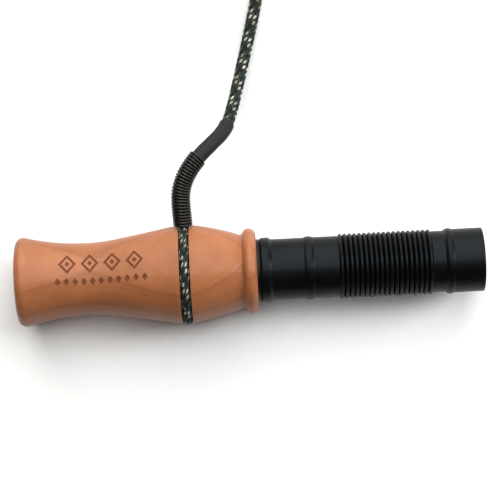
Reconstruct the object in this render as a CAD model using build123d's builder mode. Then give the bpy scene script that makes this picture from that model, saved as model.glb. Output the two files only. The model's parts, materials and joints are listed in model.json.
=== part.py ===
"""A mouth-blown deer call: turned wooden barrel, pull-out reed insert, pleated hose and cord lanyard.

Frame, in millimetres: the origin is on the bore's axis at the mouth end face, +X runs along the bore
towards the hose's outlet, +Z is up. The call lies on its side, and the cord turn in the barrel's groove
is its lowest point, so the surface that it lies on is at Z = FLOOR.
"""

import os
from math import asin, cos, radians, sin, sqrt, tan

from build123d import *

# --- turned barrel -------------------------------------------------------------------------------
BARREL_LENGTH = 86.2
RIM_ROUND = 2.6  # rounding of the mouth rim
WAIST_X, WAIST_R = 25.4, 13.0  # the thinnest place of the grip
WAIST_ARC_MOUTH, WAIST_ARC_BELLY = 85.0, 66.0  # arc radii each side of the waist
FLARE_START_X = 36.5  # where the waist's arc runs into the straight flare
BELLY_START_X, BELLY_ARC = 57.5, 18.4  # where the flare rounds over into the belly
FALL_START_DEG = 9.0  # steepness where the belly's arc runs into the shoulder's
SHOULDER_ARC, SHOULDER_END = 106.0, (78.0, 14.1)  # the long fall from the belly to the neck
BEAD_X, BEAD_CENTRE_R, BEAD_ROUND = 83.7, 12.9, 2.45  # the collar bead at the hose end
NECK_FILLET = 0.9
MOUTH_BORE_R, MOUTH_BORE_END_X = 5.0, 24.0
REED_BORE_R, REED_BORE_START_X = 8.0, 27.0

# --- lanyard groove and cord ---------------------------------------------------------------------
GROOVE_X, GROOVE_CENTRE_R, GROOVE_R = 60.6, 16.6, 1.9
LOOP_CENTRE_R, LOOP_CORD_R = 16.6, 1.7  # the turn in the groove, pulled thin
FLOOR = -(LOOP_CENTRE_R + LOOP_CORD_R)
CORD_R = 2.3
EXIT_RISE_DEG = 18.0  # the lanyard leaves the groove this far above the +Y axis
WHIPPING_R, WHIPPING_BORE_R, WHIPPING_START_R = 3.5, 2.45, 18.2
SLEEVE_R, SLEEVE_BORE_R = 2.75, 2.36
WHIPPING_LENGTH, SLEEVE_LENGTH = 27.0, 17.8
LEG_R, LEG_END_R = 2.25, 20.4  # the loop's two legs, side by side, as they enter the whipping
COIL_TURNS_R = (20.4, 25.0, 29.6)  # bottom layer of the put-away coil; two turns lie on top
COIL_X, COIL_Y = 96.5 - COIL_TURNS_R[-1], 143.0
KNOT_LENGTH, KNOT_R, KNOT_ANGLE = 13.0, 5.2, 52.0

# --- reed insert ---------------------------------------------------------------------------------
PLUG_START_X, PLUG_R = 58.0, 7.94
SOCKET_R, SOCKET_END_X = 5.5, 68.0
EXHAUST_R = 4.5
FLANGE_LENGTH, FLANGE_R = 1.0, 11.2
SPIGOT_R, SPIGOT_END_X = 9.5, 103.0
O_RING_X = (63.5, 80.0)
O_RING_R, O_RING_SECTION_R = 7.14, 0.81
O_RING_SLOT_WIDTH, O_RING_SLOT_R = 2.0, 6.3
BOARD_START_X, BOARD_R, BOARD_ROOT_R = 30.0, 6.4, 5.47
BOARD_FACE_Z = 1.0  # flat that the reed's root lies on
REED_HINGE_X, REED_RELIEF_DEG = 57.2, 2.0  # the board's face falls away from the reed beyond here
REED_START_X, REED_END_X = 31.0, 65.0
REED_WIDTH, REED_THICKNESS = 8.4, 0.3
CHANNEL_WIDTH, CHANNEL_FLOOR_Z, CHANNEL_START_X = 3.4, -3.4, 33.0
WEDGE_RISE_DEG = 2.6
TUNING_RING_X, TUNING_RING_WIDTH, TUNING_RING_WALL = 50.5, 1.8, 1.1

# --- pleated hose --------------------------------------------------------------------------------
HOSE_START_X, HOSE_LENGTH = BARREL_LENGTH + FLANGE_LENGTH, 80.2
HOSE_BORE_R, HOSE_R = 9.54, 11.0
LIP_R, LIP_LENGTH = 11.7, 4.4  # thick lip beside the barrel
CUFF_BEAD_X, CUFF_BEAD_R, BEAD_LENGTH = 104.9, 11.45, 3.6
PLEATS_START_X, PLEATS, PLEAT_PITCH = 115.5, 19, 1.76
PLEAT_CREST_R, PLEAT_ROOT_R, PLEAT_WALL = 11.75, 10.35, 0.75
INNER_PLEATS = 9  # pleats between the cuff and the middle pleat
OUTLET_BEAD_X, OUTLET_R, OUTLET_BORE_R = 155.3, 11.45, 9.8

HOSE_END_X = HOSE_START_X + HOSE_LENGTH
PLEATS_END_X = PLEATS_START_X + PLEATS * PLEAT_PITCH

# --- engraved ornament ---------------------------------------------------------------------------
ORNAMENT_X, ORNAMENT_TILT_DEG, ENGRAVING_DEPTH = 31.0, 16.0, 0.3
LARGE_LOZENGE = (6.4, 7.2)
LOZENGE_RIM = 1.15
CENTRE_LOZENGE = (1.8, 2.1)
SMALL_LOZENGE = (2.1, 2.6)

os.makedirs("parts", exist_ok=True)


def save(builder, label):
    """Labels a finished piece and writes it as parts/LABEL.step."""
    builder.part.label = label
    export_step(builder.part, f"parts/{label}.step")


def flare_slope():
    """Angle of the straight flare, where the waist's arc leaves it."""
    return asin((FLARE_START_X - WAIST_X) / WAIST_ARC_BELLY)


def barrel_profile_points():
    """The outline's key points, each an (x, radius)."""
    mouth_r = WAIST_R + WAIST_ARC_MOUTH - sqrt(WAIST_ARC_MOUTH**2 - WAIST_X**2)
    slope = flare_slope()
    flare_r = WAIST_R + WAIST_ARC_BELLY * (1 - cos(slope))
    belly_r = flare_r + tan(slope) * (BELLY_START_X - FLARE_START_X)
    crown_x = BELLY_START_X + BELLY_ARC * sin(slope)
    crown_r = belly_r + BELLY_ARC * (1 - cos(slope))
    fall_angle = radians(FALL_START_DEG)
    fall_x = crown_x + BELLY_ARC * sin(fall_angle)
    return {
        "mouth": (0, mouth_r),
        "waist": (WAIST_X, WAIST_R),
        "flare": (FLARE_START_X, flare_r),
        "belly": (BELLY_START_X, belly_r),
        "crown": (crown_x, crown_r),
        "fall": (fall_x, crown_r - BELLY_ARC * (1 - cos(fall_angle))),
        "shoulder": SHOULDER_END,
    }


def turned_outline(inset=0.0):
    """Closed half section of the barrel's outside, down to the axis, drawn inset mm under its surface."""
    p = {name: Vector(x, r - inset) for name, (x, r) in barrel_profile_points().items()}
    bead_start = Vector(BEAD_X - BEAD_ROUND, BEAD_CENTRE_R - inset)
    bead_top = Vector(BEAD_X, BEAD_CENTRE_R + BEAD_ROUND - inset)
    bead_end = Vector(BARREL_LENGTH, BEAD_CENTRE_R - inset)
    RadiusArc(p["mouth"], p["waist"], -WAIST_ARC_MOUTH)
    RadiusArc(p["waist"], p["flare"], -WAIST_ARC_BELLY)
    Line(p["flare"], p["belly"])
    RadiusArc(p["belly"], p["crown"], BELLY_ARC)
    RadiusArc(p["crown"], p["fall"], BELLY_ARC)
    RadiusArc(p["fall"], p["shoulder"], SHOULDER_ARC)
    Line(p["shoulder"], bead_start)
    ThreePointArc(bead_start, bead_top, bead_end)
    Polyline(bead_end, (BARREL_LENGTH, 0), (0, 0), p["mouth"])


def lozenge(width, height, mode=Mode.ADD):
    """A rhombus, width along X and height along Y, drawn at each place in use."""
    Polygon((width / 2, 0), (0, height / 2), (-width / 2, 0), (0, -height / 2), mode=mode)


# --- barrel: one piece of turned wood ------------------------------------------------------------
with BuildPart() as core:
    with BuildSketch(Plane.XZ):
        with BuildLine():
            turned_outline(inset=ENGRAVING_DEPTH)
        make_face()
    revolve(axis=Axis.X)

ornament_plane = Plane(
    origin=(ORNAMENT_X, 0, 0),
    x_dir=(1, 0, 0),
    z_dir=(0, sin(radians(ORNAMENT_TILT_DEG)), cos(radians(ORNAMENT_TILT_DEG))),
)
with BuildPart() as ornament:
    with BuildSketch(ornament_plane.offset(WAIST_R - 4)):
        with Locations((0, 2.2)), GridLocations(8.0, 0, 4, 1):
            lozenge(*LARGE_LOZENGE)
            lozenge(LARGE_LOZENGE[0] - 2 * LOZENGE_RIM, LARGE_LOZENGE[1] - 2 * LOZENGE_RIM, Mode.SUBTRACT)
            lozenge(*CENTRE_LOZENGE)
        with Locations((0, -4.2)), GridLocations(3.1, 0, 11, 1):
            lozenge(*SMALL_LOZENGE)
    extrude(amount=12)
    add(core.part, mode=Mode.SUBTRACT)

with BuildPart() as barrel:
    with BuildSketch(Plane.XZ) as barrel_section:
        with BuildLine():
            turned_outline()
        make_face()
        corners = barrel_section.vertices()
        fillet(corners.sort_by(Axis.X).group_by(Axis.X)[0].sort_by(Axis.Y)[-1], RIM_ROUND)
        neck = barrel_section.vertices().sort_by_distance((BEAD_X - BEAD_ROUND, BEAD_CENTRE_R))[0]
        fillet(neck, NECK_FILLET)
    revolve(axis=Axis.X)
    with BuildSketch(Plane.XZ):
        with BuildLine():
            Polyline(
                (0, 0),
                (0, MOUTH_BORE_R),
                (MOUTH_BORE_END_X, MOUTH_BORE_R),
                (REED_BORE_START_X, REED_BORE_R),
                (BARREL_LENGTH, REED_BORE_R),
                (BARREL_LENGTH, 0),
                close=True,
            )
        make_face()
    revolve(axis=Axis.X, mode=Mode.SUBTRACT)
    with BuildSketch(Plane.XZ):
        with Locations((GROOVE_X, GROOVE_CENTRE_R)):
            Circle(GROOVE_R)
            Rectangle(2 * GROOVE_R, 4, align=(Align.CENTER, Align.MIN))
    revolve(axis=Axis.X, mode=Mode.SUBTRACT)
    add(ornament.part, mode=Mode.SUBTRACT)
save(barrel, "barrel")

# --- insert body: plug, flange and hose spigot, with its two seals -------------------------------
with BuildPart() as insert_body:
    with BuildSketch(Plane.XZ) as insert_section:
        with BuildLine():
            Polyline(
                (PLUG_START_X, SOCKET_R),
                (PLUG_START_X, PLUG_R),
                (BARREL_LENGTH, PLUG_R),
                (BARREL_LENGTH, FLANGE_R),
                (HOSE_START_X, FLANGE_R),
                (HOSE_START_X, SPIGOT_R),
                (SPIGOT_END_X, SPIGOT_R),
                (SPIGOT_END_X, EXHAUST_R),
                (SOCKET_END_X, EXHAUST_R),
                (SOCKET_END_X, SOCKET_R),
                close=True,
            )
        make_face()
        with Locations(*[(x, PLUG_R) for x in O_RING_X]):
            Rectangle(O_RING_SLOT_WIDTH, 2 * (PLUG_R - O_RING_SLOT_R), mode=Mode.SUBTRACT)
        tips = insert_section.vertices().group_by(Axis.X)
        chamfer(tips[0].sort_by(Axis.Y)[-1], 0.6)
        chamfer(tips[-1], 0.7)
    revolve(axis=Axis.X)
save(insert_body, "insert_body")

for name, seal_x in zip(("o_ring_front", "o_ring_rear"), O_RING_X):
    with BuildPart() as o_ring:
        with BuildSketch(Plane.XZ):
            with Locations((seal_x, O_RING_R)):
                Circle(O_RING_SECTION_R)
        revolve(axis=Axis.X)
    save(o_ring, name)

# --- tone board: half-round trough whose face falls away under the reed --------------------------
free_length = REED_HINGE_X - BOARD_START_X
face_drop = tan(radians(REED_RELIEF_DEG)) * free_length
with BuildPart() as tone_board:
    with BuildSketch(Plane.YZ.offset(BOARD_START_X)):
        Circle(BOARD_R)
    extrude(amount=PLUG_START_X - BOARD_START_X - 0.1)
    with BuildSketch(Plane.YZ.offset(BOARD_START_X)):
        Circle(BOARD_ROOT_R)
    extrude(amount=SOCKET_END_X - BOARD_START_X)
    with BuildSketch(Plane.XZ):
        with BuildLine():
            Polyline(
                (BOARD_START_X, BOARD_FACE_Z - face_drop),
                (REED_HINGE_X, BOARD_FACE_Z),
                (SOCKET_END_X, BOARD_FACE_Z),
                (SOCKET_END_X, BOARD_R + 1),
                (BOARD_START_X, BOARD_R + 1),
                close=True,
            )
        make_face()
    extrude(amount=BOARD_R + 1, both=True, mode=Mode.SUBTRACT)
    channel_length = SOCKET_END_X - CHANNEL_START_X
    with BuildSketch(Plane.XY.offset(CHANNEL_FLOOR_Z)):
        with Locations((CHANNEL_START_X, 0)):
            SlotOverall(2 * channel_length, CHANNEL_WIDTH)
        with Locations((CHANNEL_START_X - channel_length / 2 - 1, 0)):
            Rectangle(channel_length + 2, CHANNEL_WIDTH, mode=Mode.SUBTRACT)
    extrude(amount=BOARD_R, mode=Mode.SUBTRACT)
    with BuildSketch(Plane.YZ.offset(SOCKET_END_X - 3)):
        with Locations((0, (CHANNEL_FLOOR_Z + BOARD_FACE_Z) / 2)):
            Rectangle(CHANNEL_WIDTH, BOARD_FACE_Z - CHANNEL_FLOOR_Z)
    extrude(amount=3, mode=Mode.SUBTRACT)
save(tone_board, "tone_board")

# --- reed: flat strip, clamped by the wedge and free to swing down onto the board ----------------
with BuildPart() as reed:
    with BuildSketch(Plane.XY.offset(BOARD_FACE_Z + 0.02)) as reed_outline:
        with Locations(((REED_START_X + REED_END_X) / 2, 0)):
            Rectangle(REED_END_X - REED_START_X, REED_WIDTH)
        fillet(reed_outline.vertices().group_by(Axis.X)[0], 1.6)
        chamfer(reed_outline.vertices().group_by(Axis.X)[-1], 0.5)
    extrude(amount=REED_THICKNESS)
save(reed, "reed")

# --- wedge: cork jammed between the reed's root and the plug's socket ----------------------------
wedge_front_z = BOARD_FACE_Z + REED_THICKNESS + 0.05
wedge_start_x = REED_HINGE_X
wedge_end_x = SOCKET_END_X - 1.5
with BuildPart() as reed_wedge:
    with BuildSketch(Plane.YZ.offset(wedge_start_x)):
        Circle(SOCKET_R - 0.03)
    extrude(amount=wedge_end_x - wedge_start_x)
    with BuildSketch(Plane.XZ):
        with BuildLine():
            wedge_rise = tan(radians(WEDGE_RISE_DEG)) * (wedge_end_x - wedge_start_x)
            Polyline(
                (wedge_start_x, wedge_front_z),
                (wedge_end_x, wedge_front_z + wedge_rise),
                (wedge_end_x, -SOCKET_R - 1),
                (wedge_start_x, -SOCKET_R - 1),
                close=True,
            )
        make_face()
    extrude(amount=SOCKET_R + 1, both=True, mode=Mode.SUBTRACT)
save(reed_wedge, "reed_wedge")

# --- tuning ring: rubber band round board and reed that sets the reed's free length --------------
with BuildPart() as tuning_ring:
    for radius, top, mode in (
        (BOARD_R + TUNING_RING_WALL, wedge_front_z + TUNING_RING_WALL, Mode.ADD),
        (BOARD_R + 0.05, wedge_front_z, Mode.SUBTRACT),
    ):
        with BuildSketch(Plane.YZ.offset(TUNING_RING_X)):
            Circle(radius)
            with Locations((0, top)):
                Rectangle(3 * radius, 2 * radius, align=(Align.CENTER, Align.MIN), mode=Mode.SUBTRACT)
        extrude(amount=TUNING_RING_WIDTH, mode=mode)
save(tuning_ring, "tuning_ring")


# --- hose: one moulding, split where its ends and its middle pleat move apart --------------------
def bead_outline(centre_x, bead_r, base_r):
    """Draws the section of a low rounded bead on the hose's outside."""
    half = BEAD_LENGTH / 2
    ThreePointArc((centre_x - half, base_r), (centre_x, bead_r), (centre_x + half, base_r))
    Polyline(
        (centre_x + half, base_r),
        (centre_x + half, base_r - 0.5),
        (centre_x - half, base_r - 0.5),
        (centre_x - half, base_r),
    )


with BuildPart() as hose_cuff:
    with BuildSketch(Plane.XZ) as cuff_section:
        with BuildLine():
            Polyline(
                (HOSE_START_X, HOSE_BORE_R),
                (HOSE_START_X, LIP_R),
                (HOSE_START_X + LIP_LENGTH - 1.2, LIP_R),
                (HOSE_START_X + LIP_LENGTH, HOSE_R),
                (PLEATS_START_X, HOSE_R),
                (PLEATS_START_X, HOSE_BORE_R),
                close=True,
            )
        make_face()
        fillet(cuff_section.vertices().sort_by_distance((HOSE_START_X, LIP_R))[0], 1.2)
        fillet(cuff_section.vertices().sort_by_distance((HOSE_START_X + LIP_LENGTH - 1.2, LIP_R))[0], 0.8)
        with BuildLine():
            bead_outline(CUFF_BEAD_X, CUFF_BEAD_R, HOSE_R)
        make_face()
    revolve(axis=Axis.X)
save(hose_cuff, "hose_cuff")


def pleat_edge(start_x, count, root_r, crest_r):
    """Zigzag of flat-topped pleats as (x, radius) points."""
    points = []
    for i in range(count):
        x = start_x + i * PLEAT_PITCH
        for share, radius in ((0.0, root_r), (0.12, root_r), (0.34, crest_r), (0.66, crest_r), (0.88, root_r)):
            points.append((x + share * PLEAT_PITCH, radius))
    points.append((start_x + count * PLEAT_PITCH, root_r))
    return points


middle_x = PLEATS_START_X + INNER_PLEATS * PLEAT_PITCH
for name, start_x, count in (
    ("bellows_inner", PLEATS_START_X, INNER_PLEATS),
    ("middle_pleat", middle_x, 1),
    ("bellows_outer", middle_x + PLEAT_PITCH, PLEATS - INNER_PLEATS - 1),
):
    outside = pleat_edge(start_x, count, PLEAT_ROOT_R, PLEAT_CREST_R)
    inside = pleat_edge(start_x, count, PLEAT_ROOT_R - PLEAT_WALL, PLEAT_CREST_R - PLEAT_WALL)
    with BuildPart() as bellows:
        with BuildSketch(Plane.XZ):
            with BuildLine():
                Polyline(*outside, *reversed(inside), close=True)
            make_face()
        revolve(axis=Axis.X)
    save(bellows, name)

with BuildPart() as hose_outlet:
    with BuildSketch(Plane.XZ) as outlet_section:
        with BuildLine():
            Polyline(
                (PLEATS_END_X, OUTLET_BORE_R),
                (PLEATS_END_X, HOSE_R),
                (OUTLET_BEAD_X, HOSE_R),
                (OUTLET_BEAD_X, OUTLET_R),
                (HOSE_END_X, OUTLET_R),
                (HOSE_END_X, OUTLET_BORE_R),
                close=True,
            )
        make_face()
        fillet(outlet_section.vertices().sort_by_distance((HOSE_END_X, OUTLET_R))[0], 0.4)
        with BuildLine():
            bead_outline(OUTLET_BEAD_X, OUTLET_R + 0.35, HOSE_R)
        make_face()
    revolve(axis=Axis.X)
save(hose_outlet, "hose_outlet")

# --- lanyard: loop in the groove, whipping, shrink sleeve, free cord, coil and end knot ----------
exit_way = Vector(0, cos(radians(EXIT_RISE_DEG)), sin(radians(EXIT_RISE_DEG)))
bore_middle = Vector(GROOVE_X, 0, 0)
with BuildPart() as lanyard_loop:
    with BuildSketch(Plane.XZ):
        with Locations((GROOVE_X, LOOP_CENTRE_R)):
            Circle(LOOP_CORD_R)
    revolve(axis=Axis.X)
    with BuildSketch(Plane(origin=bore_middle + exit_way * LOOP_CENTRE_R, x_dir=(1, 0, 0), z_dir=exit_way)):
        Circle(LOOP_CORD_R)
    extrude(amount=WHIPPING_START_R - LOOP_CENTRE_R)
    with BuildSketch(Plane(origin=bore_middle + exit_way * WHIPPING_START_R, x_dir=(1, 0, 0), z_dir=exit_way)):
        Circle(LEG_R)
    extrude(amount=LEG_END_R - WHIPPING_START_R)
save(lanyard_loop, "lanyard_loop")

on_floor = FLOOR + CORD_R
route = [
    tuple(bore_middle + exit_way * WHIPPING_START_R),
    (60.3, 22.5, 7.4),
    (60.2, 29.6, 8.1),
    (62.6, 35.6, 8.3),
    (66.4, 40.8, 7.2),
    (71.8, 45.9, 4.3),
    (76.6, 50.4, 0.5),
    (79.1, 55.6, -3.5),
    (81.2, 62.8, -7.4),
    (85.7, 79.2, -13.4),
    (90.9, 99.0, on_floor),
    (94.2, 115.4, on_floor),
    (95.9, 129.0, on_floor),
    (COIL_X + COIL_TURNS_R[-1], COIL_Y, on_floor),
]
BEND_SHARE = 0.45


def bend_radii(points):
    """The largest arc each corner's two runs allow."""
    radii = []
    for before, here, after in zip(points, points[1:], points[2:]):
        run_in, run_out = Vector(here) - Vector(before), Vector(after) - Vector(here)
        half_turn = radians(run_in.get_angle(run_out)) / 2
        radii.append(BEND_SHARE * min(run_in.length, run_out.length) / tan(half_turn))
    return radii


radii = bend_radii(route)
print("bend radii, mm:", [round(r, 1) for r in radii])
with BuildLine() as cord_line:
    FilletPolyline(*route, radius=radii)
cord_path = cord_line.wire()
print("cord path to the coil, mm:", round(cord_path.length, 1))


def tube_along(path, radius, bore=None):
    """A round tube, or a rod, that follows a wire."""
    with BuildPart() as tube:
        with BuildSketch(Plane(origin=path @ 0, z_dir=path % 0)):
            Circle(radius)
            if bore:
                Circle(bore, mode=Mode.SUBTRACT)
        sweep(path=path)
    section = radius**2 - (bore or 0) ** 2
    print("volume against section times length:", round(tube.part.volume / (3.14159 * section * path.length), 4))
    return tube


cord_share = (LEG_END_R + 0.2 - WHIPPING_START_R) / cord_path.length
whipping_share = WHIPPING_LENGTH / cord_path.length
sleeve_share = (WHIPPING_LENGTH + SLEEVE_LENGTH) / cord_path.length
save(tube_along(cord_path.trim(0, whipping_share), WHIPPING_R, WHIPPING_BORE_R), "whipping")
save(tube_along(cord_path.trim(whipping_share, sleeve_share), SLEEVE_R, SLEEVE_BORE_R), "shrink_sleeve")

layer_rise = CORD_R * sqrt(3)  # a turn that lies between two turns below
with BuildPart() as lanyard_coil:
    with BuildSketch(Plane.XZ.offset(-COIL_Y)) as coil_section:
        with BuildLine():
            Polyline(
                (COIL_X + COIL_TURNS_R[0] - CORD_R, FLOOR),
                (COIL_X + COIL_TURNS_R[-1] + CORD_R, FLOOR),
                (COIL_X + COIL_TURNS_R[-1] + CORD_R, on_floor),
                (COIL_X + COIL_TURNS_R[-1], on_floor + layer_rise + CORD_R),
                (COIL_X + COIL_TURNS_R[0], on_floor + layer_rise + CORD_R),
                (COIL_X + COIL_TURNS_R[0] - CORD_R, on_floor),
                close=True,
            )
        make_face()
        fillet(coil_section.vertices(), 1.2)
    revolve(axis=Axis((COIL_X, COIL_Y, 0), (0, 0, 1)))
save(lanyard_coil, "lanyard_coil")

lanyard_cord = tube_along(cord_path.trim(cord_share, 1), CORD_R)
with lanyard_cord:
    add(lanyard_coil.part, mode=Mode.SUBTRACT)
save(lanyard_cord, "lanyard_cord")

knot_angle = radians(KNOT_ANGLE)
knot_place = Vector(
    COIL_X + COIL_TURNS_R[1] * cos(knot_angle),
    COIL_Y + COIL_TURNS_R[1] * sin(knot_angle),
    on_floor + layer_rise + CORD_R + KNOT_R,
)
knot_along = Vector(-sin(knot_angle), cos(knot_angle), 0)
with BuildPart() as end_knot:
    with BuildSketch(Plane(origin=knot_place - knot_along * (KNOT_LENGTH / 2), z_dir=knot_along)):
        Circle(KNOT_R)
    extrude(amount=KNOT_LENGTH)
    fillet(end_knot.edges().filter_by(GeomType.CIRCLE), 3.0)
save(end_knot, "end_knot")
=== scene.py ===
# %% [markdown]
# # A deer grunt call
#
# The caller blows into a turned wooden barrel. A reed inside it beats on a trough, and the sound leaves
# by a pleated rubber hose that can be stretched and bent. A braided lanyard sits in a groove of the
# barrel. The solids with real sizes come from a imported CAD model, which is loaded first and never
# changed. Everything made here either paints those solids or stands in for a soft one.

import json
import math

import bpy
import numpy as np
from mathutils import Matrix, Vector

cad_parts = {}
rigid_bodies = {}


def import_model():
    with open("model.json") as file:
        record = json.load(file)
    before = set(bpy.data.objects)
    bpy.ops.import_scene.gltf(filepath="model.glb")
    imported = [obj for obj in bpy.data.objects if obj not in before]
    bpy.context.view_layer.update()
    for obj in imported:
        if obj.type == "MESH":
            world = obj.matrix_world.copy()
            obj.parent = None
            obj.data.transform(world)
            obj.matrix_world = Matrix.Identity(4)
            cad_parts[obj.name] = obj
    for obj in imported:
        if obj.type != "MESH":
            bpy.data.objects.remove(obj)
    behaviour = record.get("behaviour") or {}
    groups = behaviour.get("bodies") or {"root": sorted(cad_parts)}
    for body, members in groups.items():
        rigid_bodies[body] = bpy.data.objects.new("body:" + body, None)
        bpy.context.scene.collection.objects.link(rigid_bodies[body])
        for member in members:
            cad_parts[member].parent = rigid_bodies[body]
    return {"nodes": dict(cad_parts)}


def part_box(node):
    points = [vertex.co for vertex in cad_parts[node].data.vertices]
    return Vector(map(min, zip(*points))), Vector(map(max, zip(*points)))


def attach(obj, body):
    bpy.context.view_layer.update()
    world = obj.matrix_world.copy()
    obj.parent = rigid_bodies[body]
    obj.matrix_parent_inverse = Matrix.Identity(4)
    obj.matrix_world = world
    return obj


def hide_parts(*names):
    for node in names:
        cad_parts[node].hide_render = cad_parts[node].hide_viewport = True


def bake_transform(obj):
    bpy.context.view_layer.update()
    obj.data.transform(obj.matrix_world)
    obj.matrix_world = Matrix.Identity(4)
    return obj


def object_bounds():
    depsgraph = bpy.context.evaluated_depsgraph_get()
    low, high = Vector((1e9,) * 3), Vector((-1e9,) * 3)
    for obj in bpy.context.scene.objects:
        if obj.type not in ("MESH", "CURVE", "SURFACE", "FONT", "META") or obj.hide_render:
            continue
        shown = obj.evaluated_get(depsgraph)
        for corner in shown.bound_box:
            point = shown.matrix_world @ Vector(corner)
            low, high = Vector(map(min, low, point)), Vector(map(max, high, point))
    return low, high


for leftover in list(bpy.data.objects):
    bpy.data.objects.remove(leftover)
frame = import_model()
NODES = frame["nodes"]
CAD_BOX = [list(corner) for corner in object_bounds()]
print("CAD nodes:", len(NODES), "box in mm:", np.round(np.array(CAD_BOX) * 1000, 1).tolist())

# %% [markdown]
# ## Sizes
#
# Lengths are written in millimetres where a maker would say millimetres, and turned into metres by one
# factor. The frame's origin is on the bore's axis at the mouth, +X runs to the hose's outlet, and the
# call lies on a table at the frame's lowest point.

# %% Sizes
MM = 0.001
FLOOR_Z = CAD_BOX[0][2]
BARREL_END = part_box("barrel")[1].x
HOSE_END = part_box("hose_outlet")[1].x
CENTRE = Vector((0.5 * HOSE_END, 0.0, 0.0))
print("floor at", round(FLOOR_Z / MM, 2), "mm, barrel", round(BARREL_END / MM, 1), "mm long")

# %% [markdown]
# ## Camera, table and light
#
# The call is looked at from straight above through a long lens, turned by a few degrees so that the
# bore's axis rises a little to the right. One large soft panel stands on the +Y side and leans over the
# call: its reflection covers the upper half of the black hose and stops near the middle, which is what
# gives a dark cylinder its shape. A small, narrow strip beyond the outlet lights the faces that look its
# way, such as the pleats' flanks. Very little light comes from the other side.

# %% Camera
CAMERA_PLACE = Vector((84.0, 7.5, 706.0)) * MM
CAMERA_ROLL = math.radians(-2.9)
LENS, SENSOR_WIDTH, NEAREST_SEEN = 141.2, 36.0, 0.01
camera = bpy.data.objects.new("camera", bpy.data.cameras.new("camera"))
bpy.context.scene.collection.objects.link(camera)
camera.location = CAMERA_PLACE
camera.rotation_euler = (0.0, 0.0, CAMERA_ROLL)
camera.data.lens = LENS
camera.data.sensor_width = SENSOR_WIDTH
camera.data.clip_start = NEAREST_SEEN
bpy.context.scene.camera = camera
print("camera", round(CAMERA_PLACE.z / MM), "mm above the bore's axis")


# %% Light
def soft_panel(name, towards, distance, size, watts, colour):
    """A rectangular area light that faces the call from the direction towards."""
    light = bpy.data.objects.new(name, bpy.data.lights.new(name, "AREA"))
    bpy.context.scene.collection.objects.link(light)
    away = Vector(towards).normalized()
    light.location = CENTRE + distance * away
    light.rotation_euler = away.to_track_quat("Z", "Y").to_euler()
    light.data.shape = "RECTANGLE"
    light.data.size, light.data.size_y = size
    light.data.energy = watts
    light.data.color = colour


WARM_WHITE, COOL_WHITE = (1.0, 0.99, 0.975), (0.95, 0.98, 1.0)
soft_panel("main_panel", (0.0, 0.67, 0.74), 1.10, (1.15, 2.1), 32.0, WARM_WHITE)
soft_panel("right_strip", (0.80, 0.22, 0.56), 0.90, (0.25, 0.6), 6.0, COOL_WHITE)

ROOM_COLOUR, ROOM_STRENGTH = (0.9, 0.95, 1.0, 1.0), 0.03
world = bpy.data.worlds.new("room")
world.use_nodes = True
world.node_tree.nodes["Background"].inputs["Color"].default_value = ROOM_COLOUR
world.node_tree.nodes["Background"].inputs["Strength"].default_value = ROOM_STRENGTH
bpy.context.scene.world = world
bpy.context.scene.view_settings.view_transform = "Standard"

# %% [markdown]
# ## A small language for shaders
#
# A material is a graph of nodes, and maths in it is easier to read as maths. `Wire` wraps one output
# socket and turns Python's operators into Math nodes, so `1 - mask * 0.5` builds what it says.
# `Shader` makes every other kind of node through one method.


# %% Wires and shaders
class Wire:
    """One output socket of a shader's node. Operators on it add Math nodes."""

    def __init__(self, shader, socket):
        self.shader, self.socket = shader, socket

    def __add__(self, other):
        return self.shader.maths("ADD", self, other)

    def __radd__(self, other):
        return self.shader.maths("ADD", other, self)

    def __sub__(self, other):
        return self.shader.maths("SUBTRACT", self, other)

    def __rsub__(self, other):
        return self.shader.maths("SUBTRACT", other, self)

    def __mul__(self, other):
        return self.shader.maths("MULTIPLY", self, other)

    def __rmul__(self, other):
        return self.shader.maths("MULTIPLY", other, self)

    def __truediv__(self, other):
        return self.shader.maths("DIVIDE", self, other)

    def __pow__(self, other):
        return self.shader.maths("POWER", self, other)

    def __mod__(self, other):
        return self.shader.maths("FLOORED_MODULO", self, other)

    def __gt__(self, other):
        return self.shader.maths("GREATER_THAN", self, other)

    def __lt__(self, other):
        return self.shader.maths("LESS_THAN", self, other)

    def floor(self):
        return self.shader.maths("FLOOR", self)

    def round(self):
        return self.shader.maths("ROUND", self)

    def sqrt(self):
        return self.shader.maths("SQRT", self)

    def sin(self):
        return self.shader.maths("SINE", self)

    def clamp(self):
        return self.shader.maths("MINIMUM", self.shader.maths("MAXIMUM", self, 0.0), 1.0)

    def ramp(self, low, high):
        """0 below low, 1 above high, smooth between them."""
        t = ((self - low) / (high - low)).clamp()
        return t * t * (3.0 - 2.0 * t)


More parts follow.
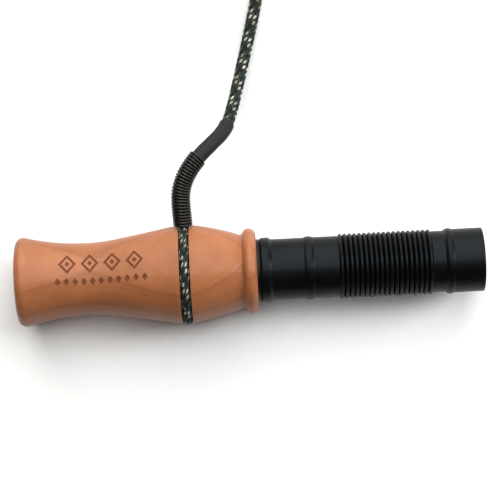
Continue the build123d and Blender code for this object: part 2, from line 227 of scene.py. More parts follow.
class Shader:
    """A material with one Principled surface, built by adding nodes."""

    def __init__(self, name):
        self.material = bpy.data.materials.new(name)
        self.material.use_nodes = True
        self.tree = self.material.node_tree
        self.surface = self.tree.nodes["Principled BSDF"]

    def node(self, kind, settings=None, inputs=None):
        """Adds a node: its settings first, then a value or a wire for each of its sockets."""
        new = self.tree.nodes.new(kind)
        for key, value in (settings or {}).items():
            setattr(new, key, value)
        for key, value in (inputs or {}).items():
            self.feed(new.inputs[key], value)
        return new

    def feed(self, socket, value):
        if isinstance(value, Wire):
            self.tree.links.new(value.socket, socket)
        else:
            socket.default_value = value

    def wire(self, node, output=0):
        return Wire(self, node.outputs[output])

    def maths(self, operation, *values):
        return self.wire(self.node("ShaderNodeMath", {"operation": operation}, dict(enumerate(values))))

    def place(self, scale=(1.0, 1.0, 1.0)):
        """Object coordinates, in metres, each axis multiplied by scale."""
        here = Wire(self, self.node("ShaderNodeTexCoord").outputs["Object"])
        return self.wire(self.node("ShaderNodeMapping", inputs={"Vector": here, "Scale": scale}))

    def axes(self, vector):
        split = self.node("ShaderNodeSeparateXYZ", inputs={0: vector})
        return [self.wire(split, i) for i in range(3)]

    def uv(self):
        """The piece's own UV map: once across and along its surface."""
        return self.axes(self.wire(self.node("ShaderNodeUVMap", {"uv_map": "along"})))[:2]

    def noise(self, vector, scale, detail=2.0, roughness=0.5):
        found = {"Vector": vector, "Scale": scale, "Detail": detail, "Roughness": roughness}
        return self.wire(self.node("ShaderNodeTexNoise", inputs=found))

    def mix(self, share, first, second):
        """first where share is 0, second where it is 1, both colours."""
        inputs = {0: share, 6: first, 7: second}
        return self.wire(self.node("ShaderNodeMix", {"data_type": "RGBA"}, inputs), 2)

    def bump(self, height, strength, distance):
        inputs = {"Height": height, "Strength": strength, "Distance": distance}
        return self.wire(self.node("ShaderNodeBump", inputs=inputs))

    def set(self, **sockets):
        """Sets the surface's sockets: names are written with _ for a space."""
        for name, value in sockets.items():
            self.feed(self.surface.inputs[name.replace("_", " ")], value)
        return self.material


def rgb(red, green, blue):
    return (red, green, blue, 1.0)


# %% Paint a piece
def paint(piece, material):
    """Gives a piece one material."""
    piece.data.materials.clear()
    piece.data.materials.append(material)


def paint_nodes(material, slot, *names):
    """Puts a material in every slot of some CAD nodes."""
    for name in names:
        for i in range(len(NODES[name].material_slots)):
            NODES[name].material_slots[i].material = material
    print(material.name, "on", ", ".join(names))


# %% Table top
def pale_paper():
    shader = Shader("pale_paper")
    fibres = shader.noise(shader.place(), 400.0, 3.0)
    return shader.set(
        Base_Color=shader.mix(fibres, rgb(0.83, 0.83, 0.82), rgb(0.86, 0.86, 0.85)),
        Roughness=0.9,
        Specular_IOR_Level=0.1,
    )


TABLE_HALF = 2.0
table_mesh = bpy.data.meshes.new("table_top")
sides = ((-1, -1), (1, -1), (1, 1), (-1, 1))
table_corners = [(x * TABLE_HALF, y * TABLE_HALF, FLOOR_Z) for x, y in sides]
table_mesh.from_pydata(table_corners, [], [(0, 1, 2, 3)])
table_top = bpy.data.objects.new("table_top", table_mesh)
bpy.context.scene.collection.objects.link(table_top)
table_mesh.materials.append(pale_paper())
print("table top at", round(FLOOR_Z / MM, 1), "mm")

# %% [markdown]
# ## The wooden barrel
#
# The barrel is a real lathe shape, so the CAD solid stays and gets a finish. Cherry wood shows three
# things at once. Growth rings are cylinders about the tree's pith, which lies outside this block, and
# turning cuts them into long contour lines that pinch at the waist and bow at the belly. Fainter rings
# lie between them. Fibres run along the bore as fine streaks.
# Slow changes of tone make soft patches. All three are functions of the place inside the block, so the
# pattern is solid and also right on the mouth end. The engraved band is a real pocket in the solid, and
# the burn colour is wherever the surface lies under the turned outline.

# %% Outline of the grip, for the burnt pockets
WAIST_X, WAIST_R = 25.4 * MM, 13.0 * MM
MOUTH_SIDE_ARC, BELLY_SIDE_ARC = 85.0 * MM, 66.0 * MM
FLARE_X, FLARE_R, FLARE_SLOPE = 36.5 * MM, 13.94 * MM, 0.1706


def grip_radius(x):
    """Radius of the turned outline near the waist: a parabola each side, then the straight flare."""
    from_waist = x - WAIST_X
    belly_side = from_waist > 0.0
    curve = from_waist * from_waist * (0.5 / MOUTH_SIDE_ARC)
    curve = curve + belly_side * from_waist * from_waist * (0.5 / BELLY_SIDE_ARC - 0.5 / MOUTH_SIDE_ARC)
    flare = (x - FLARE_X) * FLARE_SLOPE + (FLARE_R - WAIST_R)
    on_flare = x > FLARE_X
    return WAIST_R + curve * (1.0 - on_flare) + flare * on_flare


# %% Cherry wood
RING_SPACING = 5.8 * MM
FAINT_RING_SPACING = RING_SPACING * 0.31
PITH_Y, PITH_Z = -26.2 * MM, -56.2 * MM
RINGS_START_R = 74.9 * MM
ENGRAVING_START_X, ENGRAVING_END_X = 12.0 * MM, 50.0 * MM
SCORCH_DEPTH, BURNT_DEPTH = 0.06 * MM, 0.16 * MM
PALE_CHERRY, DARK_CHERRY = rgb(0.385, 0.140, 0.056), rgb(0.195, 0.060, 0.018)
PORE_BROWN, LATE_WOOD_BROWN = rgb(0.14, 0.040, 0.012), rgb(0.15, 0.042, 0.011)
SOOT, SCORCHED_WOOD = rgb(0.11, 0.028, 0.009), rgb(0.17, 0.046, 0.015)


def cherry_wood():
    shader = Shader("cherry_wood")
    x, y, z = shader.axes(shader.place())
    slow = shader.noise(shader.place((18.0, 60.0, 60.0)), 1.0, 2.0)
    bow = shader.noise(shader.place((30.0, 90.0, 90.0)), 1.0, 1.0)
    across = ((z - PITH_Z) * (z - PITH_Z) + (y - PITH_Y) * (y - PITH_Y)).sqrt()
    wander = (slow - 0.5) * (3.0 * MM) + (bow - 0.5) * (1.6 * MM)
    year = (across + wander - RINGS_START_R) / RING_SPACING % 1.0
    late_wood = (year**7.0 * 0.65 + year**26.0 * 0.35) * (1.0 - year.ramp(0.955, 1.0))
    faint_year = (across + wander * 1.4) / FAINT_RING_SPACING % 1.0
    late_wood = late_wood + faint_year**4.0 * (1.0 - faint_year.ramp(0.9, 1.0)) * 0.22
    fibres = shader.noise(shader.place((55.0, 1500.0, 1500.0)), 1.0, 4.0, 0.6)
    pores = shader.noise(shader.place((260.0, 3600.0, 3600.0)), 1.0, 2.0, 0.5).ramp(0.60, 0.74)
    patches = shader.noise(shader.place((55.0, 75.0, 75.0)), 1.0, 3.0, 0.55)
    ripple = shader.noise(shader.place((330.0, 60.0, 60.0)), 1.0, 2.0, 0.5)
    tone = 0.36 + (patches - 0.5) * 0.75 + (fibres - 0.5) * 0.42
    tone = tone + (ripple - 0.5) * 0.16 + late_wood * 0.30
    colour = shader.mix(tone.clamp(), PALE_CHERRY, DARK_CHERRY)
    colour = shader.mix(pores * 0.30, colour, PORE_BROWN)
    colour = shader.mix((late_wood * 0.40).clamp(), colour, LATE_WOOD_BROWN)
    depth = grip_radius(x) - (y * y + z * z).sqrt()
    in_band = (x > ENGRAVING_START_X) * (x < ENGRAVING_END_X) * (z > 0.0)
    burnt = depth.ramp(SCORCH_DEPTH, BURNT_DEPTH) * in_band
    soot = shader.mix(fibres.ramp(0.35, 0.7), SOOT, SCORCHED_WOOD)
    colour = shader.mix(burnt * 0.92, colour, soot)
    height = fibres * 0.5 + pores * -0.6 + late_wood * 0.25
    return shader.set(
        Base_Color=colour,
        Roughness=0.42 + (fibres - 0.5) * 0.12 + burnt * 0.3,
        Specular_IOR_Level=0.24,
        Coat_Weight=0.07 - burnt * 0.07,
        Coat_Roughness=0.30,
        Normal=shader.bump(height, 0.35, 0.05 * MM),
    )


paint_nodes(cherry_wood(), "turned_wood", "barrel")

# %% [markdown]
# ## Surfaces from numpy
#
# Every new piece is a grid: rows run along it and columns run round it. One function turns such a grid
# into a mesh, closes it round, caps its ends where they are open, and stores two numbers per corner as
# a UV map, so that a braid or a winding can follow the surface.


# %% A grid becomes a mesh
def grid_piece(name, points, uv=None, ring=False, sharp_deg=40.0):
    """Makes a piece from points of shape (rows, columns, 3).

    Columns always close round. With ring, the last row joins the first; without it, each end is capped.
    uv has the shape (rows, columns + 1, 2), so that the seam has two values.
    """
    rows, columns = points.shape[:2]
    steps = rows if ring else rows - 1
    i, j = np.meshgrid(np.arange(steps), np.arange(columns), indexing="ij")
    k, m = (i + 1) % rows, (j + 1) % columns
    quads = np.stack([i * columns + j, i * columns + m, k * columns + m, k * columns + j], -1).reshape(-1, 4)
    faces = quads.tolist()
    if not ring:
        faces.append(list(range(columns))[::-1])
        faces.append(list(range((rows - 1) * columns, rows * columns)))
    mesh = bpy.data.meshes.new(name)
    mesh.from_pydata(points.reshape(-1, 3).tolist(), [], faces)
    if uv is not None:
        k = i + 1
        corners = np.stack([uv[i, j], uv[i, j + 1], uv[k, j + 1], uv[k, j]], 2).reshape(-1, 2)
        spare = len(mesh.loops) - len(corners)
        values = np.concatenate([corners, np.zeros((spare, 2))]).astype(np.float32)
        mesh.uv_layers.new(name="along").data.foreach_set("uv", values.ravel())
    mesh.shade_smooth()
    mesh.set_sharp_from_angle(angle=math.radians(sharp_deg))
    piece = bpy.data.objects.new(name, mesh)
    bpy.context.scene.collection.objects.link(piece)
    print(name, "has", len(quads) * 2, "triangles")
    return piece


# %% A profile turned about the bore's axis
def once_round(columns):
    """Even angles once round, in radians."""
    return np.arange(columns) * 2 * np.pi / columns


def turned(x, radius, columns=96):
    """Points of a profile (x, radius) turned about +X: y = -r sin(a), z = r cos(a)."""
    angle = once_round(columns)
    wide = radius[:, None]
    grid = np.empty((len(x), columns, 3))
    grid[..., 0] = x[:, None]
    grid[..., 1] = -wide * np.sin(angle)
    grid[..., 2] = wide * np.cos(angle)
    return grid


# %% [markdown]
# ## The pleated hose
#
# The hose is one soft moulding: plain ends with low beads, and nineteen pleats between them. The plain
# ends are CAD solids. The pleats have rounded crests and narrow grooves, which is the modulus of a sine
# to a small power. They come in three pieces, because on the real hose the inner nine stretch and the
# outer nine bend: here those two stay where they are built, and the middle pleat rides between on the hose's
# middle body.

# %% Pleats
PLEAT_CREST, PLEAT_ROOT, PLEAT_WALL = 11.74 * MM, 10.3 * MM, 0.7 * MM
PLEAT_ROWS = 18
CREST_ROUNDNESS = 0.42


def pleat_radius(pleats):
    """Rounded crests with a narrow groove between: root + rise * |sin(pi p)| ** roundness."""
    return PLEAT_ROOT + (PLEAT_CREST - PLEAT_ROOT) * np.abs(np.sin(np.pi * pleats)) ** CREST_ROUNDNESS


def pleated_tube(name, node, count):
    """A pleated wall from the node's start to its end, outside and inside, as one closed ring."""
    low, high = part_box(node)
    outside = np.linspace(0.0, count, count * PLEAT_ROWS + 1)
    x = low.x + outside / count * (high.x - low.x)
    radius = pleat_radius(outside)
    profile_x = np.concatenate([x, x[::-1]])
    profile_r = np.concatenate([radius, radius[::-1] - PLEAT_WALL])
    piece = grid_piece(name, turned(profile_x, profile_r), ring=True, sharp_deg=60.0)
    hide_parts(node)
    return piece, low.x, high.x


pleats_near, near_start, near_end = pleated_tube("pleats_near", "bellows_inner", 9)
pleat_between = pleated_tube("pleat_between", "middle_pleat", 1)[0]
pleats_far, far_start, far_end = pleated_tube("pleats_far", "bellows_outer", 9)


# %% Hose rubber
def hose_rubber():
    shader = Shader("hose_rubber")
    here = shader.place()
    skin = shader.noise(here, 2600.0, 2.0)
    haze = shader.noise(here, 90.0, 3.0)
    return shader.set(
        Base_Color=shader.mix(haze, rgb(0.0012, 0.0014, 0.0016), rgb(0.0026, 0.0030, 0.0036)),
        Roughness=0.34 + haze * 0.10,
        Specular_IOR_Level=0.115,
        Specular_Tint=rgb(0.82, 0.93, 1.0),
        Normal=shader.bump(skin, 0.15, 0.02 * MM),
    )


rubber = hose_rubber()
paint_nodes(rubber, "hose_rubber", "hose_cuff", "hose_outlet")
for piece in (pleats_near, pleat_between, pleats_far):
    paint(piece, rubber)
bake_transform(pleats_near)
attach(pleat_between, "hose_middle")
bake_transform(pleats_far)

# %% [markdown]
# ## The reed insert
#
# These pieces are hidden until the insert is pulled out, but each has its own finish: lathe-turned black
# plastic with faint tool rings, a moulded trough, frosted film for the reed, cut cork for the wedge and
# matt rubber for the seals and the tuning ring.


# %% Insert finishes
TOOL_RING_PITCH = 0.22 * MM


def turned_plastic():
    shader = Shader("turned_plastic")
    x = shader.axes(shader.place())[0]
    tool_rings = (x * (2 * math.pi / TOOL_RING_PITCH)).sin()
    haze = shader.noise(shader.place(), 160.0, 3.0)
    return shader.set(
        Base_Color=shader.mix(haze, rgb(0.003, 0.003, 0.003), rgb(0.006, 0.006, 0.007)),
        Roughness=0.34 + haze * 0.12,
        Specular_IOR_Level=0.16,
        Normal=shader.bump(tool_rings, 0.25, 0.01 * MM),
    )


def moulded_plastic():
    shader = Shader("moulded_plastic")
    grain = shader.noise(shader.place(), 1800.0, 3.0)
    return shader.set(
        Base_Color=shader.mix(grain, rgb(0.022, 0.023, 0.025), rgb(0.040, 0.041, 0.045)),
        Roughness=0.46 + grain * 0.12,
        Normal=shader.bump(grain, 0.3, 0.02 * MM),
    )


def frosted_film():
    shader = Shader("frosted_film")
    brushed = shader.noise(shader.place((40.0, 900.0, 900.0)), 1.0, 3.0)
    return shader.set(
        Base_Color=shader.mix(brushed, rgb(0.66, 0.69, 0.67), rgb(0.80, 0.82, 0.80)),
        Roughness=0.30 + brushed * 0.18,
        Transmission_Weight=0.35,
        Normal=shader.bump(brushed, 0.2, 0.01 * MM),
    )


def cut_cork():
    shader = Shader("cut_cork")
    cells = {"Vector": shader.place(), "Scale": 900.0}
    grains = shader.wire(shader.node("ShaderNodeTexVoronoi", inputs=cells))
    lenticels = shader.noise(shader.place((500.0, 200.0, 200.0)), 1.0, 3.0).ramp(0.58, 0.7)
    colour = shader.mix(grains, rgb(0.33, 0.18, 0.085), rgb(0.62, 0.41, 0.22))
    return shader.set(
        Base_Color=shader.mix(lenticels * 0.8, colour, rgb(0.12, 0.055, 0.03)),
        Roughness=0.85,
        Normal=shader.bump(grains - lenticels, 0.6, 0.08 * MM),
    )


def seal_rubber():
    shader = Shader("seal_rubber")
    bloom = shader.noise(shader.place(), 700.0, 3.0)
    return shader.set(
        Base_Color=shader.mix(bloom, rgb(0.010, 0.010, 0.010), rgb(0.028, 0.028, 0.029)),
        Roughness=0.55 + bloom * 0.2,
        Normal=shader.bump(bloom, 0.2, 0.01 * MM),
    )


paint_nodes(turned_plastic(), "black_acetal", "insert_body")
paint_nodes(moulded_plastic(), "board_plastic", "tone_board")
paint_nodes(frosted_film(), "reed_film", "reed")
paint_nodes(cut_cork(), "cork", "reed_wedge")
paint_nodes(seal_rubber(), "seal_rubber", "o_ring_front", "o_ring_rear", "tuning_ring")

# %% [markdown]
# ## The lanyard's route
#
# The cord leaves the groove at the call's +Y side, rises a little inside its whipping, turns down through
# its sleeve to the table, and runs off past the edge of the view. The length that isn't seen is put away
# beside the call: three turns on the table and two on top of them. The route is one NURBS curve. Its
# first points are the CAD route's own, and the coil's points come from a formula for the radius and the
# height at each angle.

# %% Route and coil
EXIT_X, EXIT_R, EXIT_RISE = 60.6, 18.2, math.radians(18.0)
CORD_R = 2.3
ON_TABLE = FLOOR_Z / MM + CORD_R
ROUTE = [
    (EXIT_X, EXIT_R * math.cos(EXIT_RISE), EXIT_R * math.sin(EXIT_RISE)),
    (60.3, 22.5, 7.4),
    (60.2, 29.6, 8.1),
    (62.6, 35.6, 8.3),
    (66.4, 40.8, 7.2),
    (71.8, 45.9, 4.3),
    (76.6, 50.4, 0.5),
    (79.1, 55.6, -3.5),
    (81.2, 62.8, -7.4),
    (85.7, 79.2, -13.4),
    (90.9, 99.0, ON_TABLE),
    (94.2, 115.4, ON_TABLE),
    (95.9, 129.0, ON_TABLE),
]
COIL_CENTRE = np.array([66.9, 143.0])
TURN_GAP = 2 * CORD_R
OUTER_TURN = 29.6
INNER_TURN = OUTER_TURN - 2 * TURN_GAP
TOP_INNER = INNER_TURN + CORD_R
TOP_OUTER = TOP_INNER + TURN_GAP
LAYER = CORD_R * math.sqrt(3.0)
KNOT_ANGLE, KNOT_TURN_R, KNOT_HALF, KNOT_R = 52.0, 25.0, 6.5, 5.2
KNOT_Z = ON_TABLE + LAYER + CORD_R + KNOT_R
TURN = 360.0
COIL_END = 5 * TURN + KNOT_ANGLE - math.degrees(KNOT_HALF / KNOT_TURN_R)
STEP_ARC = 70.0
CLIMB_START, CLIMB_ARC, CLIMB_LAG = 920.0, 60.0, 30.0
POINTS_PER_TURN = 18


def step(angle, start, end):
    """0 before start and 1 after end, smooth between them."""
    t = np.clip((angle - start) / (end - start), 0.0, 1.0)
    return t * t * (3.0 - 2.0 * t)


def to_next_turn(angle, turns):
    """0 before and 1 after the last stretch of this many turns, where the cord steps to its neighbour."""
    return step(angle, turns * TURN - STEP_ARC, turns * TURN)


def coil_points():
    """Points of the coil, from a radius and a height at each angle.

    The radius steps in by a cord's width in each of the first two turns. In the third the cord climbs
    into the furrow above, steps out once, and ends by rising to the knot. NURBS points are set out by
    1 / cos(half their spacing), because the curve cuts the corners between them.
    """
    count = int(POINTS_PER_TURN * COIL_END / TURN)
    angle = np.linspace(0.0, COIL_END, count + 1)
    radius = OUTER_TURN - TURN_GAP * (to_next_turn(angle, 1) + to_next_turn(angle, 2))
    climb_in = CLIMB_START + CLIMB_LAG
    radius = radius + (TOP_INNER - INNER_TURN) * step(angle, climb_in, climb_in + CLIMB_ARC)
    radius = radius + TURN_GAP * to_next_turn(angle, 4)
    radius = radius - (TOP_OUTER - KNOT_TURN_R) * step(angle, COIL_END - 60, COIL_END - 10)
    height = ON_TABLE + LAYER * step(angle, CLIMB_START, CLIMB_START + CLIMB_ARC)
    height = height + (KNOT_Z - ON_TABLE - LAYER) * step(angle, COIL_END - 75, COIL_END - 5)
    cut_in = 1.0 / math.cos(math.pi / POINTS_PER_TURN)
    turn = np.radians(angle)
    x = COIL_CENTRE[0] + radius * cut_in * np.cos(turn)
    y = COIL_CENTRE[1] + radius * cut_in * np.sin(turn)
    return np.stack([x, y, height], 1)


def curve_through(name, points):
    """Even points along a NURBS spline with these control points, in metres."""
    curve = bpy.data.curves.new(name, "CURVE")
    curve.dimensions = "3D"
    spline = curve.splines.new("NURBS")
    spline.points.add(len(points) - 1)
    padded = np.column_stack([np.asarray(points) * MM, np.ones(len(points))])
    spline.points.foreach_set("co", padded.ravel())
    spline.order_u = 3
    spline.use_endpoint_u = True
    spline.resolution_u = 24
    holder = bpy.data.objects.new(name, curve)
    bpy.context.scene.collection.objects.link(holder)
    bpy.context.view_layer.update()
    mesh = bpy.data.meshes.new_from_object(holder)
    line = np.empty(len(mesh.vertices) * 3)
    mesh.vertices.foreach_get("co", line)
    bpy.data.objects.remove(holder)
    return line.reshape(-1, 3)


def distances(line):
    """Distance along a line to each of its points."""
    steps = np.linalg.norm(np.diff(line, axis=0), axis=1)
    return np.concatenate([[0.0], np.cumsum(steps)])


def stretch_of(line, start, end, count):
    """count even points on the line between two distances along it."""
    along = distances(line)
    wanted = np.linspace(start, end, count)
    return np.stack([np.interp(wanted, along, line[:, axis]) for axis in range(3)], 1)


route_line = curve_through("route", np.concatenate([np.array(ROUTE), coil_points()]))
ROUTE_LENGTH = distances(route_line)[-1]
print("cord from groove to knot:", round(ROUTE_LENGTH / MM), "mm")

# %% [markdown]
# ## Braid
#
# The cord is a round braid of sixteen strands. Seen from outside, each strand surfaces again and again
# as a short slanted float, and the floats of the two directions fill two lattices that sit half a cell
# apart. In cell units the first lattice has its centres at (column + 1/2, row) and the second at
# (column, row + 1/2). A float's height is 1 - (along / long)^2 - (across / short)^2 in its own tilted
# axes. The same formula is used twice: in numpy to raise the surface, and in the shader to colour it.

# %% Braid lattice
COLUMNS_ROUND = 8
ROW_LENGTH = 2.2 * MM
COLUMN_WIDTH = 2 * math.pi * CORD_R * MM / COLUMNS_ROUND
FLOAT_TILT = math.radians(33.0)
FLOAT_LONG, FLOAT_SHORT = 1.20 * MM, 0.62 * MM
RELIEF = 0.13
print("braid cell:", round(COLUMN_WIDTH / MM, 2), "mm across,", round(ROW_LENGTH / MM, 2), "mm along")


def float_height(across, along, tilt):
    """Height of a float over a point: 1 at its centre, 0 at its edge, negative outside."""
    long_way = along * math.cos(tilt) + across * math.sin(tilt)
    short_way = across * math.cos(tilt) - along * math.sin(tilt)
    lengthwise = long_way * long_way * (1 / FLOAT_LONG**2)
    return 1.0 - lengthwise - short_way * short_way * (1 / FLOAT_SHORT**2)


def braid_relief(column, row):
    """Relief from 0, between floats, to 1, on a float, for arrays in cell units."""
    first = float_height(
        (column - np.floor(column) - 0.5) * COLUMN_WIDTH, (row - np.round(row)) * ROW_LENGTH, FLOAT_TILT
    )
    second = float_height(
        (column - np.round(column)) * COLUMN_WIDTH, (row - np.floor(row) - 0.5) * ROW_LENGTH, -FLOAT_TILT
    )
    return np.sqrt(np.clip(np.maximum(first, second), 0.0, 1.0))


# %% Tubes along a line
UPRIGHT = (0.0, 0.0, 1.0)


def unit(vectors):
    """Each row divided by its own length."""
    return vectors / np.linalg.norm(vectors, axis=1, keepdims=True)


def cross_axes(line, up=UPRIGHT):
    """Two unit vectors square to the line at each point: side = tangent x up, top = side x tangent."""
    tangent = unit(np.gradient(line, axis=0))
    side = unit(np.cross(tangent, up))
    return side, np.cross(side, tangent)


def rings(line, side, top, angle, radius):
    """A ring of points round each point of a line: line + r (cos(a) side + sin(a) top)."""
    spread = side[:, None] * np.cos(angle)[:, None] + top[:, None] * np.sin(angle)[:, None]
    return line[:, None] + spread * radius


def tube_points(line, radius, up=UPRIGHT):
    """Points of a tube whose radius is an array of shape (rows, columns)."""
    side, top = cross_axes(line, np.array(up))
    return rings(line, side, top, -once_round(radius.shape[1]), radius[..., None])


def braided_tube(name, line, radius, columns, up=UPRIGHT):
    """A braided cord along a line: the relief lifts the floats and sinks the gaps between them.

    radius is a number, or one number for each point of the line.
    """
    along = distances(line) / ROW_LENGTH
    round_way = np.arange(columns + 1) * COLUMNS_ROUND / columns
    column, row = np.meshgrid(round_way, along)
    relief = braid_relief(column[:, :-1], row[:, :-1])
    size = np.broadcast_to(np.asarray(radius, float), (len(line),))[:, None]
    wide = size * (1.0 - RELIEF * (1.0 - relief))
    points = tube_points(line, wide, up)
    return grid_piece(name, points, np.stack([column, row], -1), sharp_deg=180.0)


# %% Braid finish
STRANDS_REPEAT = 4.0


def braid_finish():
    """Strands are numbered 0 to 3 along each direction's diagonal, and the number picks the colour.

    Of the first direction, 0 and 1 are pale flecks and 3 is faintly green. Of the second, 0 to 2 are
    green. Every other strand is black. Where the relief is low, between the floats, every colour fades to
    near-black: painted shade in the gaps of the braid.
    """
    shader = Shader("camo_braid")
    column, row = shader.uv()
    across_1 = (column % 1.0 - 0.5) * COLUMN_WIDTH
    across_2 = (column - column.round()) * COLUMN_WIDTH
    along_1 = (row - row.round()) * ROW_LENGTH
    along_2 = (row % 1.0 - 0.5) * ROW_LENGTH
    first = float_height(across_1, along_1, FLOAT_TILT)
    second = float_height(across_2, along_2, -FLOAT_TILT)
    on_first = first > second
    lift = shader.maths("MAXIMUM", first, second).clamp().sqrt()
    strand_1 = (row.round() + column.floor()) % STRANDS_REPEAT
    strand_2 = (row.floor() - column.round()) % STRANDS_REPEAT
    fleck = on_first * (strand_1 < 1.5)
    green = (1.0 - on_first) * (strand_2 < 2.5) + on_first * (strand_1 > 2.5) * 0.4
    fuzz = shader.noise(shader.place(), 2200.0, 3.0, 0.6)
    patches = shader.noise(shader.place(), 260.0, 2.0)
    black = shader.mix(fuzz, rgb(0.004, 0.005, 0.004), rgb(0.012, 0.015, 0.013))
    dark_green = shader.mix(fuzz, rgb(0.010, 0.018, 0.014), rgb(0.042, 0.064, 0.051))
    tan = shader.mix(patches.ramp(0.35, 0.65), rgb(0.42, 0.43, 0.35), rgb(0.13, 0.12, 0.08))
    colour = shader.mix((green * (0.35 + fuzz * 0.9)).clamp(), black, dark_green)
    colour = shader.mix(fleck * lift.ramp(0.50, 0.86), colour, tan)
    # Where the relief is low, between the floats, the colour fades to near-black: painted shade in the gaps
    # of the braid.
    colour = shader.mix(lift.ramp(0.1, 0.65), rgb(0.002, 0.002, 0.002), colour)
    return shader.set(
        Base_Color=colour,
        Roughness=0.66 + fuzz * 0.2,
        Specular_IOR_Level=0.15,
        Normal=shader.bump(lift + fuzz * 0.35, 0.5, 0.15 * MM),
    )


braid = braid_finish()

# %% [markdown]
# ## Loop, whipping and sleeve
#
# The lanyard's end goes once round the barrel in the groove, and both strands meet where the black
# whipping starts. The whipping is a real winding: one thin waxed strand carried round the cord on a
# helix, with a pitch just under its own thickness so that no cord shows between its turns. The matt
# sleeve is a shrunk tube with rounded lips and slow dents.

# %% Loop in the groove
LOOP_R, LOOP_CORD_R, LEG_CORD_R = 16.6, 1.7, 1.16
LEG_SPREAD = 1.18
LOOP_GAP, LOOP_POINTS = 13.0, 33


def loop_control_points():
    """A nearly full circle in the groove, with each end bent outwards into the whipping's mouth.

    Points are (x, out, aside), out along the cord's exit, and are then turned by the exit's rise.
    """
    angle = np.radians(np.linspace(LOOP_GAP, TURN - LOOP_GAP, LOOP_POINTS))
    circle = np.stack([np.full(LOOP_POINTS, EXIT_X), LOOP_R * np.cos(angle), LOOP_R * np.sin(angle)], 1)
    start = [(EXIT_X, 21.2, LEG_SPREAD), (EXIT_X, 19.4, LEG_SPREAD), (EXIT_X, 17.4, LEG_SPREAD + 0.5)]
    end = [(x, out, -aside) for x, out, aside in start[::-1]]
    x, out, aside = np.concatenate([start, circle, end]).T
    y = out * math.cos(EXIT_RISE) - aside * math.sin(EXIT_RISE)
    z = out * math.sin(EXIT_RISE) + aside * math.cos(EXIT_RISE)
    return np.stack([x, y, z], 1)


loop_line = curve_through("loop", loop_control_points())
loop_length = distances(loop_line)[-1]
loop_line = stretch_of(loop_line, 0.0, loop_length, 420)
from_end = np.minimum(distances(loop_line), loop_length - distances(loop_line)) / MM
loop_radius = (LEG_CORD_R + (LOOP_CORD_R - LEG_CORD_R) * step(from_end, 2.5, 7.0)) * MM
groove_loop = braided_tube("groove_loop", loop_line, loop_radius, 40, up=(1.0, 0.0, 0.0))
paint(groove_loop, braid)
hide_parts("lanyard_loop")
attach(groove_loop, "lanyard")

# %% Whipping
WHIPPING_LENGTH, WHIPPING_R = 27.0 * MM, 3.5 * MM
WIND_PITCH = 1.04 * MM
WIND_R = 0.56 * MM
ROWS_PER_TURN, WIND_COLUMNS = 44, 10


def winding_line(line, radius, turns):
    """A helix about a line: each point turns about it evenly while it moves along."""
    side, top = cross_axes(line)
    angle = np.linspace(0.0, turns * 2 * np.pi, len(line))[:, None]
    return line + radius * (side * np.cos(angle) + top * np.sin(angle))


wind_turns = (WHIPPING_LENGTH - 2 * WIND_R) / WIND_PITCH
wind_core = stretch_of(route_line, WIND_R, WHIPPING_LENGTH - WIND_R, int(wind_turns * ROWS_PER_TURN))
wind_line = winding_line(wind_core, WHIPPING_R - WIND_R, wind_turns)
outward = unit(wind_line - wind_core)
sideways = np.cross(unit(np.gradient(wind_line, axis=0)), outward)
wind_points = rings(wind_line, outward, sideways, once_round(WIND_COLUMNS), WIND_R)
wind_u, wind_v = np.meshgrid(np.arange(WIND_COLUMNS + 1) / WIND_COLUMNS, distances(wind_line) / MM)
wind_uv = np.stack([wind_u, wind_v], -1)
whipping_winding = grid_piece("whipping_winding", wind_points, wind_uv, sharp_deg=60.0)


def waxed_strand():
    shader = Shader("waxed_strand")
    u, v = shader.uv()
    plies = ((u * 3.0 + v * 0.9) * (2 * math.pi)).sin() * 0.5 + 0.5
    wear = shader.noise(shader.place(), 900.0, 3.0)
    return shader.set(
        Base_Color=shader.mix(wear, rgb(0.001, 0.001, 0.001), rgb(0.010, 0.011, 0.006)),
        Roughness=0.22 + wear * 0.16,
        Specular_IOR_Level=0.30,
        Normal=shader.bump(plies + wear * 0.4, 0.25, 0.05 * MM),
    )


paint(whipping_winding, waxed_strand())
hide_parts("whipping")
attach(whipping_winding, "lanyard")

# %% Shrink sleeve
SLEEVE_LENGTH, SLEEVE_R = 17.8 * MM, 2.72 * MM
LIP_LENGTH, LIP_DEPTH = 0.35 * MM, 0.3 * MM
SLEEVE_ROWS, SLEEVE_COLUMNS = 90, 48
TUCKED_IN = 0.9 * MM


def sleeve_radius(share, angle):
    """Radius of the shrunk tube: rounded lips at both ends and a few slow dents along it."""
    from_end = np.minimum(share, 1.0 - share) * SLEEVE_LENGTH
    lip = np.sqrt(np.clip(1.0 - (1.0 - np.minimum(from_end / LIP_LENGTH, 1.0)) ** 2, 0.0, 1.0))
    dents = 0.022 * np.sin(9.0 * share + 2.0 * angle) + 0.016 * np.sin(23.0 * share - 3.0 * angle)
    return (SLEEVE_R - LIP_DEPTH) + LIP_DEPTH * lip + dents * MM


sleeve_start, sleeve_end = WHIPPING_LENGTH - TUCKED_IN, WHIPPING_LENGTH + SLEEVE_LENGTH
sleeve_line = stretch_of(route_line, sleeve_start, sleeve_end, SLEEVE_ROWS)
sleeve_share = np.linspace(0, 1, SLEEVE_ROWS)
share, angle = np.meshgrid(sleeve_share, once_round(SLEEVE_COLUMNS), indexing="ij")
sleeve = grid_piece("sleeve", tube_points(sleeve_line, sleeve_radius(share, angle)))


def shrunk_tube():
    shader = Shader("shrunk_tube")
    here = shader.place()
    scuffs = shader.noise(here, 500.0, 4.0, 0.6)
    weave_below = shader.noise(here, 1100.0, 1.0)
    return shader.set(
        Base_Color=shader.mix(scuffs, rgb(0.005, 0.005, 0.006), rgb(0.014, 0.013, 0.016)),
        Roughness=0.50 + scuffs * 0.15,
        Specular_IOR_Level=0.20,
        Normal=shader.bump(weave_below + scuffs * 0.4, 0.3, 0.06 * MM),
    )


paint(sleeve, shrunk_tube())
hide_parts("shrink_sleeve")
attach(sleeve, "lanyard")
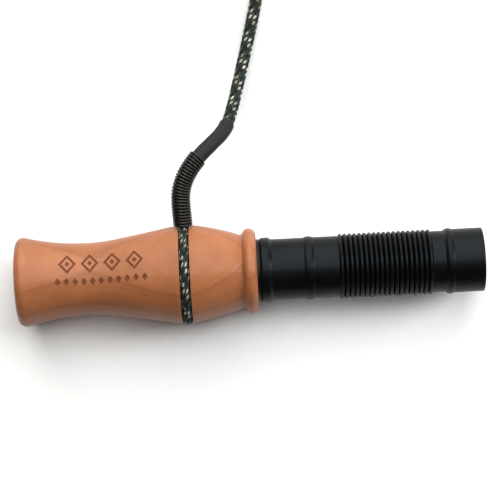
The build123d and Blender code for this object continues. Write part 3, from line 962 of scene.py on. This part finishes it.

# %% [markdown]
# ## The free cord and its knot
#
# The free cord is one braided tube along the whole route, hidden inside the whipping and the sleeve at
# its start. An overhand knot stops its end. The knot is the same braid carried along a short open
# trefoil, drawn tight, its tail closed by a flat cap.

# %% Free cord
CORD_START, CORD_ROW_GAP = 2.5 * MM, 0.42 * MM
cord_rows = int((ROUTE_LENGTH - CORD_START) / CORD_ROW_GAP)
cord_line = stretch_of(route_line, CORD_START, ROUTE_LENGTH, cord_rows)
free_cord = braided_tube("free_cord", cord_line, CORD_R * MM, 32)
paint(free_cord, braid)
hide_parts("lanyard_cord", "lanyard_coil")
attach(free_cord, "lanyard")

# %% Overhand knot
KNOT_CORD_R = 1.9
knot_turn = math.radians(KNOT_ANGLE)
knot_centre = np.array(
    [
        COIL_CENTRE[0] + KNOT_TURN_R * math.cos(knot_turn),
        COIL_CENTRE[1] + KNOT_TURN_R * math.sin(knot_turn),
        KNOT_Z,
    ]
)
knot_along = np.array([-math.sin(knot_turn), math.cos(knot_turn), 0.0])
knot_out = np.array([math.cos(knot_turn), math.sin(knot_turn), 0.0])
knot_up = np.array([0.0, 0.0, 1.0])
# The open trefoil: along the cord, outwards and upwards, in millimetres.
OVERHAND = np.array(
    [
        (-6.4, 0.0, 0.0),
        (-4.4, -0.4, -0.6),
        (-1.6, -1.6, -1.6),
        (1.6, -2.6, -1.4),
        (3.4, -1.6, 0.8),
        (2.6, 0.6, 2.6),
        (0.2, 2.6, 2.6),
        (-2.4, 3.0, 0.4),
        (-3.2, 1.2, -2.4),
        (-1.6, -1.2, -3.2),
        (0.6, -3.0, -1.6),
        (0.4, -3.0, 1.6),
        (-0.4, -0.8, 3.2),
        (0.6, 1.4, 1.4),
        (2.6, 1.6, -0.6),
        (4.6, 0.6, -0.8),
        (6.4, 0.2, -0.6),
    ]
)
knot_points = knot_centre + OVERHAND @ np.stack([knot_along, knot_out, knot_up])
knot_line = curve_through("knot", knot_points)
knot_line = stretch_of(knot_line, 0.0, distances(knot_line)[-1], 220)
stop_knot = braided_tube("stop_knot", knot_line, KNOT_CORD_R * MM, 28, up=(0.3, 0.2, 0.93))
paint(stop_knot, braid)
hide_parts("end_knot")
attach(stop_knot, "lanyard")
